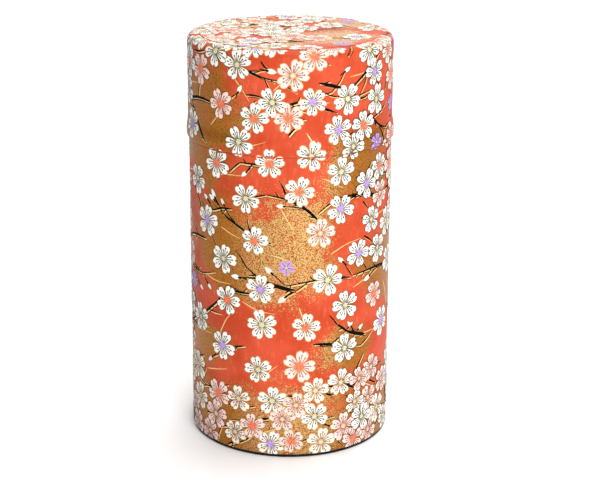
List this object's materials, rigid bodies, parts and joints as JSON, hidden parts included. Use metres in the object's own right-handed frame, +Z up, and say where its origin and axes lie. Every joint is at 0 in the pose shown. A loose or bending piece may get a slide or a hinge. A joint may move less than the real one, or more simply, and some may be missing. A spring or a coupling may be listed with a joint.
{
  "type": "tea caddy",
  "caption": "Tall round tinplate tea caddy covered in printed paper, with a slip-on outer lid over a neck ring and a knobbed inner plug lid.",
  "frame": {"origin": "centre of the bottom rim, on the plane that the caddy stands on", "axes": "+Z up along the caddy's axis, towards the lids; -Y is the front that the pattern was laid out from"},
  "size_m": [0.0776, 0.0776, 0.1545],
  "materials": {
    "printed_paper": "matte washi with metallic gold clouds",
    "petal_ink": "opaque white print",
    "line_ink": "black print",
    "gold_ink": "metallic gold print",
    "tinplate": "bright rolled tinplate",
    "black_lacquer": "gloss black lacquer"
  },
  "bodies": {
    "caddy_body": {"body_shell": "tinplate", "neck_ring": "tinplate", "bottom_end": "black_lacquer", "body_paper": "printed_paper"},
    "inner_lid": {"inner_lid": "tinplate", "inner_lid_knob": "tinplate", "knob_rivet": "tinplate"},
    "outer_lid": {"lid_wall": "tinplate", "lid_top_plate": "tinplate", "lid_paper_band": "printed_paper", "lid_paper_top": "printed_paper"}
  },
  "joints": [
    {"name": "outer_lid_lift", "type": "slide", "parent": "caddy_body", "child": "outer_lid", "axis": [0, 0, 1], "range_m": [0, 0.12]},
    {"name": "inner_lid_lift", "type": "slide", "parent": "caddy_body", "child": "inner_lid", "axis": [0, 0, 1], "range_m": [0, 0.016]}
  ]
}
